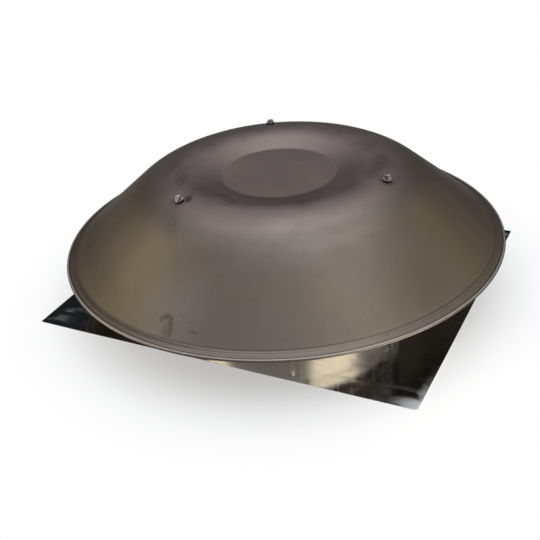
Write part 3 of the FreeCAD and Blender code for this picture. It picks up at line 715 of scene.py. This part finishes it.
# Each patch of soot on the crest is given in the same way, turned to lie along it. The
# last two are smears below the left screw.
soot = [((-0.138, -0.038), (0.009, 0.032), -0.28, 0.45),
        ((-0.1071, -0.0732), (0.008, 0.032), -0.61, 0.5),
        ((-0.065, -0.0992), (0.008, 0.028), -0.99, 0.5),
        ((-0.0354, -0.1001), (0.007, 0.02), -1.23, 0.35),
        ((0.129, 0.05), (0.011, 0.022), -0.37, 0.55),
        ((0.129, 0.0137), (0.009, 0.02), -0.1, 0.5),
        ((0.115, -0.029), (0.007, 0.022), 0.25, 0.45),
        ((-0.064, -0.173), (0.008, 0.016), view_turn, 0.4),
        ((-0.076, -0.156), (0.007, 0.013), view_turn, 0.3)]

# Colours of the paint, of its wear, of what lies on it and of painted shade and highlight
bronze = (0.225, 0.188, 0.142, 1)
reddish_bronze = (0.232, 0.19, 0.156, 1)
mauve_crown = (0.238, 0.194, 0.18, 1)
lit_mauve_disc = (0.272, 0.219, 0.202, 1)
pale_patch_and_highlight = (0.276, 0.236, 0.208, 1)
painted_highlight_pale = (0.31, 0.258, 0.245, 1)
dull_mottle = (0.175, 0.148, 0.12, 1)
roller_marks_and_highlight = (0.33, 0.29, 0.25, 1)
worn_bead = (0.45, 0.4, 0.35, 1)
bead_underside_shade = (0.085, 0.075, 0.066, 1)
fleck = (0.35, 0.32, 0.28, 1)
dirt_and_shade = (0.075, 0.06, 0.047, 1)
inside_shade = (0.04, 0.036, 0.03, 1)

# Radii of the rings in the paint
crest_ring = 0.124
highlight_ring = 0.13
shade_ring = 0.157
crease_shade_line = crease[0] - 0.0003
ledge_start = 0.2865
ledge_full = 0.288
groove_ring = 0.2898
valley_shade_ring = 0.2962
bead_start = 0.2968
bead_full = 0.2978
inside_full = 0.2975
inside_end = 0.2985

# Directions from the axis in which some of the dirt, painted shade and painted highlight grow
front = (0.375, -0.927, 0.0)
lee = (-0.342, -0.94, 0.0)
left_side = (-0.894, -0.447, 0.0)


def band(tree, value, middle, half, soft):
    """Return 1 within half a width of the middle, and 0 beyond a soft edge."""
    away = sums(tree, "ABSOLUTE", sums(tree, "SUBTRACT", value, middle))
    return ramp(tree, away, half + soft, half)


def towards(tree, place, direction):
    """Return how far a place lies from the axis in a direction."""
    return add(tree, "VectorMath", {0: place, 1: direction}, operation="DOT_PRODUCT").outputs["Value"]


def coat(tree, colour, paint, share, strength):
    """Lay paint, dirt or painted shade over a colour, where a share says and at a strength."""
    return mix(tree, sums(tree, "MULTIPLY", share, strength), colour, paint)


def dome_finish():
    """Bronze paint with metal flakes: cloudy, stained, scuffed, with painted shade in its creases.

    The crown has weathered to a mauve tone, and the disc is a lighter mauve, partly painted
    light. A pale patch below the crown is a painted highlight, and a second pale patch lies
    lower on the front flank. On the shoulder's front a painted highlight ring and a painted
    shade ring follow the radius, and so do rings of dirt: a mottled one on the crest and a
    dark one on the ledge. A painted shadow lies beside the left screw, and painted shade
    darkens the lower flank at the left and the right, the ledge away from the front and the
    inside. The curled bead is worn pale on its top and painted dark below as shade.
    """
    finish, tree, shader = new_finish("Bronze paint", Metallic=0.85,
                                      Specular_Tint=(0.05, 0.05, 0.05, 1))
    coordinates = add(tree, "TexCoord", {}).outputs
    place = coordinates["Object"]
    facing = add(tree, "SeparateXYZ", {0: coordinates["Normal"]}).outputs["Z"]
    reach = length(tree, in_plan(tree, place))
    to_front = towards(tree, place, front)
    cloud = noise(tree, place, 9.0, 4.0, 0.6, 0.5)
    mottle = noise(tree, place, 70.0, 5.0, 0.65)
    patch = noise(tree, place, 26.0, 5.0, 0.7, 0.6)
    peel = noise(tree, place, 650.0, 2.0)

    colour = mix(tree, ramp(tree, cloud, 0.35, 0.65), bronze, reddish_bronze)
    colour = mix(tree, ramp(tree, reach, 0.22, 0.14), colour, mauve_crown)
    # A pale patch below the crown, laid along the view, is a painted highlight that carries the
    # shoulder's highlight lower. A second pale patch lies lower on the front flank.
    painted_highlight_patch = ramp(tree, oval(tree, place, (0.083, -0.168), (0.06, 0.03), view_turn), 1.3, 0.2)
    bloom = ramp(tree, oval(tree, place, (-0.022, -0.262), (0.05, 0.045)), 1.3, 0.2)
    colour = coat(tree, colour, pale_patch_and_highlight, sums(tree, "MAXIMUM", painted_highlight_patch, bloom), 0.9)
    # A paler ring on the shoulder's front is a painted highlight that moves the shoulder's highlight.
    painted_highlight_band = sums(tree, "MULTIPLY", band(tree, reach, highlight_ring, 0.003, 0.012),
                  ramp(tree, to_front, 0.08, 0.125))
    colour = coat(tree, colour, painted_highlight_pale, painted_highlight_band, 0.65)
    # A darker ring just outside it, on the front only, is painted shade that dims the shoulder's
    # highlight.
    painted_shade_band = sums(tree, "MULTIPLY", band(tree, reach, shade_ring, 0.003, 0.012),
                ramp(tree, to_front, 0.1, 0.15))
    colour = coat(tree, colour, dirt_and_shade, painted_shade_band, 0.16)
    # The disc is painted a lighter mauve: partly its own tone, and partly painted light for the light
    # the flat top catches from low behind.
    on_disc = ramp(tree, reach, disc_radius + 0.002, disc_radius - 0.002)
    colour = mix(tree, on_disc, colour, lit_mauve_disc)
    colour = mix(tree, ramp(tree, mottle, 0.45, 0.75, 0.0, 0.25), colour, dull_mottle)

    ragged = sums(tree, "MULTIPLY", sums(tree, "SUBTRACT", mottle, 0.5), 0.9)
    # Stains, soot and a painted shadow beside the left screw darken the paint.
    grime_and_shadow = 0.0
    for centre, size, turn, strength in stains_and_shadow:
        away = sums(tree, "ADD", oval(tree, place, centre, size, turn), ragged)
        grime_and_shadow = sums(tree, "MAXIMUM", grime_and_shadow, ramp(tree, away, 1.3, 0.7, 0.0, strength))
    speckle = ramp(tree, noise(tree, place, 210.0, 4.0, 0.7), 0.4, 0.62, 0.3, 1.0)
    for centre, size, turn, strength in soot:
        away = sums(tree, "ADD", oval(tree, place, centre, size, turn), ragged)
        black = sums(tree, "MULTIPLY", ramp(tree, away, 1.8, 0.1, 0.0, strength), speckle)
        grime_and_shadow = sums(tree, "MAXIMUM", grime_and_shadow, black)
    colour = mix(tree, grime_and_shadow, colour, dirt_and_shade)
    crest = sums(tree, "MULTIPLY", band(tree, reach, crest_ring, 0.006, 0.02),
                 ramp(tree, patch, 0.45, 0.68))
    colour = coat(tree, colour, dirt_and_shade, crest, 0.32)

    settled = ramp(tree, towards(tree, place, lee), 0.24, 0.28, 0.08, 0.7)
    groove = sums(tree, "MULTIPLY", band(tree, reach, groove_ring, 0.0008, 0.0018), settled)
    colour = coat(tree, colour, dirt_and_shade, groove, ramp(tree, patch, 0.3, 0.6, 0.6, 1.0))
    # A thin dark line along the crease between flank and ledge is painted shade.
    colour = coat(tree, colour, dirt_and_shade, band(tree, reach, crease_shade_line, 0.0002, 0.0008), 0.5)
    # Painted shade darkens the lower flank at the left and in a patch at the right.
    painted_shade_left = sums(tree, "MULTIPLY", ramp(tree, towards(tree, place, left_side), 0.15, 0.23),
                 ramp(tree, reach, 0.225, 0.275))
    colour = coat(tree, colour, dirt_and_shade, painted_shade_left, 0.33)
    painted_shade_right = ramp(tree, oval(tree, place, (0.232, -0.14), (0.06, 0.05)), 1.3, 0.2)
    colour = coat(tree, colour, dirt_and_shade, painted_shade_right, 0.16)

    lines = noise(tree, add(tree, "CombineXYZ", {0: reach}).outputs[0], 900.0, 2.0)
    on_ledge = ramp(tree, reach, ledge_start, ledge_full)
    marked = sums(tree, "MULTIPLY", on_ledge, ramp(tree, lines, 0.35, 0.65))
    # Pale roller marks on the ledge, made stronger towards the front as painted highlight.
    colour = coat(tree, colour, roller_marks_and_highlight, marked, ramp(tree, to_front, 0.25, 0.29, 0.1, 0.35))
    # Painted shade darkens the ledge away from the front.
    colour = coat(tree, colour, dirt_and_shade, on_ledge, ramp(tree, to_front, 0.285, 0.25, 0.0, 0.22))
    # A dark line in the valley between ledge and bead is painted shade.
    colour = coat(tree, colour, dirt_and_shade, band(tree, reach, valley_shade_ring, 0.0003, 0.0008), 0.7)
    bead = ramp(tree, reach, bead_start, bead_full)
    colour = coat(tree, colour, worn_bead, bead, ramp(tree, patch, 0.25, 0.5, 0.6, 1.0))
    # The bead's side that faces down is painted dark as shade.
    below = sums(tree, "MULTIPLY", bead, ramp(tree, facing, 0.85, 0.45))
    colour = coat(tree, colour, bead_underside_shade, below, 0.92)
    speck = ramp(tree, noise(tree, place, 160.0, 1.0), 0.76, 0.82)
    colour = coat(tree, colour, fleck, speck, 0.35)
    # Surfaces that face down inside the dome are painted dark as shade.
    under = sums(tree, "MULTIPLY", ramp(tree, facing, -0.2, -0.35),
                 ramp(tree, reach, inside_end, inside_full))
    colour = coat(tree, colour, inside_shade, under, 0.7)

    rough = sums(tree, "ADD", ramp(tree, cloud, 0.3, 0.7, 0.39, 0.45),
                 sums(tree, "MULTIPLY", mottle, 0.08))
    height = sums(tree, "ADD", sums(tree, "MULTIPLY", peel, 0.3), mottle)
    plug(tree, shader, {"Base Color": colour, "Roughness": rough,
                        "Normal": bumps(tree, height, 0.05, 0.0004)})
    return finish


dome_skin = skin("dome_skin", [dome_grid()], crease=9)
stand_for(dome_skin, dome_finish(), "dome")


# Dome fasteners
# Three zinc-plated hexagon flange screws clamp the dome to the legs. Each sits on a
# dished metal washer over a rubber one that bulges under load, and runs into a nut.

screw_offset = screw_circle - crest_radius
screw_tilt = math.asin(screw_offset / shoulder_radius)
screw_seat = shoulder_centre[1] + shoulder_radius * math.cos(screw_tilt)
rubber_height = 0.0015
cup_height = 0.001
washer_hole = 0.00255
screw_shank = 0.0025
thread_clearance = 0.00002
dome_screw = {"shank": screw_shank, "length": 0.016, "flange": 0.0056, "flange_height": 0.0009,
              "flats": 0.008, "head": 0.0036}
head_dip = 0.0003
nut_flats = 0.008
nut_height = 0.004
tab_gap = 0.00015
nut_gap = 0.00012
nut_top = -(dome_sheet + tab_gap + leg_sheet + nut_gap)
fastener_steps = 48


def six_sided(angles):
    """Radius of a hexagon in each direction, where the radius of its flats is 1."""
    return 1 / np.cos((angles % (math.pi / 3)) - math.pi / 6)


def screw_grid(size):
    """Points of an upright flange screw whose flange rests at height 0.

    The head's sides follow a hexagon between two round chamfers, and its top is
    slightly hollow.
    """
    angles = circle(fastener_steps)
    flat = size["flats"] / 2
    corner = flat / math.cos(math.pi / 6)
    shank, end = size["shank"], -size["length"]
    flange, head, step = size["flange"], size["head"], size["flange_height"]
    below = [(0, end), (shank * 0.6, end), (shank, end + shank * 0.6), (shank, 0),
             (flange * 0.97, 0), (flange, step * 0.3), (flange * 0.97, step * 0.7), (corner, step)]
    sides = [(flat, step), (flat, head * 0.86)]
    top = [(flat, head), (flat * 0.8, head), (flat * 0.55, head - head_dip), (0, head - head_dip)]
    grid = turned(below + sides + top, angles)
    grid[:, len(below):len(below + sides), :2] *= six_sided(angles)[:, None, None]
    return grid


def on_dome(grid, azimuth, height=0.0):
    """Put a grid on a screw's tilted axis, a height above the dome's skin."""
    spot = (Matrix.Rotation(azimuth, 4, "Z") @ Matrix.Translation((screw_circle, 0, screw_seat))
            @ Matrix.Rotation(screw_tilt, 4, "Y") @ Matrix.Translation((0, 0, height)))
    return put(grid, spot)


def nut_grid():
    """Points of a hexagon nut round its hole, its corners eased at both ends."""
    angles = circle(fastener_steps)
    hole = screw_shank + thread_clearance
    flat = nut_flats / 2
    grid = turned([(hole, 0), (flat * 0.95, 0), (flat, nut_height * 0.1),
                   (flat, nut_height * 0.9), (flat * 0.95, nut_height), (hole, nut_height)], angles)
    grid[:, 2:4, :2] *= six_sided(angles)[:, None, None]
    return grid


plated = worn_finish("Dulled plating", (0.28, 0.25, 0.2, 1), (0.56, 0.53, 0.46, 1), 0.28, 0.5, 260.0,
                     Metallic=1.0)
screws = skin("flange_screws", [on_dome(screw_grid(dome_screw), azimuth, rubber_height + cup_height)
                                for azimuth in leg_azimuths], wrap=False)
stand_for(screws, plated, "dome_screws")

cup_profile = [(washer_hole, 0), (0.0058, 0), (0.0064, 0.0001), (0.0063, 0.0006),
               (0.0056, cup_height), (washer_hole, cup_height)]
cup_grid = turned(cup_profile, circle(fastener_steps))
cup_finish = worn_finish("Washer plating", (0.13, 0.11, 0.09, 1), (0.25, 0.22, 0.18, 1), 0.42, 0.6,
                         300.0, Metallic=1.0)
cups = skin("dished_washers", [on_dome(cup_grid, azimuth, rubber_height) for azimuth in leg_azimuths])
stand_for(cups, cup_finish, "cup_washers")

rubber_profile = [(washer_hole, 0), (0.0057, 0), (0.006, 0.0004), (0.006, 0.0011),
                  (0.0057, rubber_height), (washer_hole, rubber_height)]
rubber_grid = turned(rubber_profile, circle(fastener_steps))
black_rubber = worn_finish("Washer rubber", (0.02, 0.02, 0.02, 1), (0.05, 0.05, 0.047, 1), 0.6, 0.85,
                           500.0, Specular_IOR_Level=0.3)
rubbers = skin("rubber_washers", [on_dome(rubber_grid, azimuth) for azimuth in leg_azimuths])
stand_for(rubbers, black_rubber, "sealing_washers")

nut_finish = worn_finish("Nut plating", (0.4, 0.4, 0.4, 1), (0.62, 0.62, 0.62, 1), 0.25, 0.4, 260.0,
                         Metallic=1.0)
nuts = skin("hexagon_nuts", [on_dome(nut_grid(), azimuth, nut_top - nut_height)
                             for azimuth in leg_azimuths])
stand_for(nuts, nut_finish, "leg_nuts")


# Wire screen
# Welded wire cloth, galvanised after welding, that keeps birds out of the throat.
# Hoops lie inside and uprights outside, and the uprights under each leg's tab are
# snipped off at the top hoop.

screen_low, screen_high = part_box("wire_screen")
screen_fit = 0.0001
wire_radius = 0.0005
weld_depth = 0.0002
hoop_radius = seam_outer + screen_fit + wire_radius
upright_radius = hoop_radius + 2 * wire_radius - weld_depth
hoop_pitch = 0.01905
hoop_count = 5
wires_per_leg = 16
wire_sides = 8
hoop_steps = 240


def hoop_grid(height):
    """Points of one wire hoop: a small round carried round the axis."""
    turn = circle(wire_sides)
    section = np.column_stack([hoop_radius + wire_radius * np.cos(turn),
                               height + wire_radius * np.sin(turn)])
    return turned(section, circle(hoop_steps))


def upright_grid(azimuth, top):
    """Points of one upright wire, flat at both ends."""
    profile = [(0, screen_low.z), (wire_radius, screen_low.z), (wire_radius, top), (0, top)]
    spot = Matrix.Rotation(azimuth, 4, "Z") @ Matrix.Translation((upright_radius, 0, 0))
    return put(turned(profile, circle(wire_sides)), spot)


screen_wire = worn_finish("Galvanised wire", (0.45, 0.46, 0.47, 1), (0.7, 0.71, 0.72, 1), 0.3, 0.55,
                          150.0, Metallic=1.0)
hoop_heights = screen_low.z + wire_radius + hoop_pitch * np.arange(hoop_count)
hoops = skin("screen_hoops", [hoop_grid(height) for height in hoop_heights])
hoops.data.materials.append(screen_wire)
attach(hoops, "root")
wire_count = wires_per_leg * len(leg_nodes)
wire_step = 2 * math.pi / wire_count
wire_azimuths = (np.arange(wire_count) + 0.5) * wire_step
from_leg = np.abs((wire_azimuths + leg_turn / 2) % leg_turn - leg_turn / 2)
wire_tops = np.where(from_leg < wire_step, hoop_heights[-1] + wire_radius, screen_high.z)
uprights = skin("screen_uprights", [upright_grid(azimuth, top)
                                    for azimuth, top in zip(wire_azimuths, wire_tops)], wrap=False)
stand_for(uprights, screen_wire, "wire_screen")


# Screen band and its screws
# A flat aluminium strip that clamps the screen's lower edge to the collar, held by
# three short plated hexagon screws midway between the legs.

band_low, band_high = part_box("screen_band")
band_screw = {"shank": 0.0019, "length": 0.008, "flange": 0.0041, "flange_height": 0.0007,
              "flats": 0.0063, "head": 0.0024}
dress(["screen_band"], collar_strip)
band_middle = (band_low.z + band_high.z) / 2
band_spot = Matrix.Translation((band_high.x, 0, band_middle)) @ Matrix.Rotation(math.pi / 2, 4, "Y")
band_screw_set = skin("band_screw_set", [
    put(screw_grid(band_screw), Matrix.Rotation(azimuth, 4, "Z") @ band_spot)
    for azimuth in leg_azimuths + leg_turn / 2], wrap=False)
stand_for(band_screw_set, plated, "band_screws")


# Studio
# A wide pale floor under a sky that glows overhead. Two broad lights hang high behind
# and at the right, two warmer ones stand lower at the right rear and the left, and two
# low warm strips light the throat. The camera stands where the photographer did.

floor_half = 60.0
shadow_near = 0.22
shadow_far = 0.42
lamp_aim = Vector((0, 0, 0.08))
neutral = (1.0, 1.0, 1.0)
faint_pink = (1.0, 0.98, 1.0)
amber = (1.0, 0.93, 0.64)
cream = (1.0, 0.9, 0.72)


def seen_rays(tree):
    """Return the share of camera rays, and of rays that carry what is seen.

    What is seen comes by the camera's own rays, or by a mirror or clear glass.
    """
    rays = add(tree, "LightPath", {}).outputs
    seen = sums(tree, "MAXIMUM", rays["Is Camera Ray"], rays["Is Glossy Ray"])
    return rays["Is Camera Ray"], sums(tree, "MAXIMUM", seen, rays["Is Transmission Ray"])


def floor_finish():
    """White floor that keeps the shadow near the vent and is plain white further off.

    Light that bounces from it onto the vent comes from a greyer floor, so that the
    underside of the dome stays as dark as on a roof.
    """
    finish, tree, shader = new_finish("Pale floor", Roughness=0.9, Specular_IOR_Level=0.0)
    away = length(tree, own_place(tree))
    seen = seen_rays(tree)[1]
    plug(tree, shader, {"Base Color": mix(tree, seen, (0.12, 0.12, 0.12, 1), (0.98, 0.98, 0.98, 1))})
    plain = add(tree, "Emission", {"Color": (1, 1, 1, 1), "Strength": 1.0}).outputs[0]
    share = sums(tree, "MULTIPLY", seen, ramp(tree, away, shadow_near, shadow_far, 0.45, 1.0))
    surface = add(tree, "MixShader", {0: share, 1: shader.outputs[0], 2: plain}).outputs[0]
    plug(tree, tree.nodes["Material Output"], {"Surface": surface})
    return finish


floor_mesh = bpy.data.meshes.new("floor")
floor_corners = [(-floor_half, -floor_half, 0), (floor_half, -floor_half, 0),
                 (floor_half, floor_half, 0), (-floor_half, floor_half, 0)]
floor_mesh.from_pydata(floor_corners, [], [(0, 1, 2, 3)])
floor_mesh.materials.append(floor_finish())
floor = bpy.data.objects.new("floor", floor_mesh)
bpy.context.scene.collection.objects.link(floor)


def soft_light(name, azimuth, elevation, distance, wide, high, power, colour):
    """Hang a rectangular soft light in a direction from the vent, facing it."""
    lamp = bpy.data.lights.new(name, "AREA")
    lamp.shape = "RECTANGLE"
    lamp.size, lamp.size_y = wide, high
    lamp.energy = power
    lamp.color = colour
    light = bpy.data.objects.new(name, lamp)
    azimuth, elevation = math.radians(azimuth), math.radians(elevation)
    away = Vector((math.cos(azimuth) * math.cos(elevation), math.sin(azimuth) * math.cos(elevation),
                   math.sin(elevation)))
    light.location = away * distance + lamp_aim
    light.rotation_euler = away.to_track_quat("Z", "Y").to_euler()
    bpy.context.scene.collection.objects.link(light)


soft_light("rear", 117, 62, 2.5, 2.0, 0.9, 13.5, faint_pink)
soft_light("right", 5, 62, 2.4, 1.3, 1.0, 6.9, neutral)
soft_light("right rear", 50, 27, 2.4, 1.0, 0.7, 2.1, amber)
soft_light("left", 196, 30, 2.4, 1.2, 0.8, 5.0, amber)
soft_light("left strip", -139, -2.5, 0.85, 0.5, 0.08, 2.9, cream)
soft_light("right strip", -29, -9, 0.46, 0.34, 0.012, 1.0, cream)

# The sky is plain white to the camera. To everything else it glows cool from overhead
# and is almost dark lower down, with a white line along the horizon in mirrors.
world = bpy.data.worlds.new("Studio")
bpy.context.scene.world = world
world.use_nodes = True
sky = world.node_tree
direction = add(sky, "TexCoord", {}).outputs["Generated"]
upward = add(sky, "SeparateXYZ", {"Vector": direction}).outputs["Z"]
glow = ramp(sky, upward, 0.55, 0.85, 0.014, 0.78)
camera_rays, seen = seen_rays(sky)
horizon = sums(sky, "MULTIPLY", seen, ramp(sky, upward, 0.07, 0.03))
backdrop = sums(sky, "MAXIMUM", camera_rays, horizon)
tint = mix(sky, camera_rays, (0.93, 1.0, 1.12, 1), (1, 1, 1, 1))
plug(sky, sky.nodes["Background"], {"Color": tint, "Strength": sums(sky, "MAXIMUM", glow, backdrop)})

camera_place = Vector((0.51714, -1.00715, 0.67861))
camera_aim = Vector((0.005569, -0.059978, 0.043268))
camera_roll = math.radians(-4.9038)
camera_lens = 61.53
camera_data = bpy.data.cameras.new("camera")
camera_data.lens = camera_lens
camera_data.sensor_width = 36
camera = bpy.data.objects.new("camera", camera_data)
level = (camera_aim - camera_place).to_track_quat("-Z", "Y").to_matrix().to_4x4()
camera.matrix_world = Matrix.Translation(camera_place) @ level @ Matrix.Rotation(camera_roll, 4, "Z")
bpy.context.scene.collection.objects.link(camera)
bpy.context.scene.camera = camera
bpy.context.scene.view_settings.view_transform = "Standard"
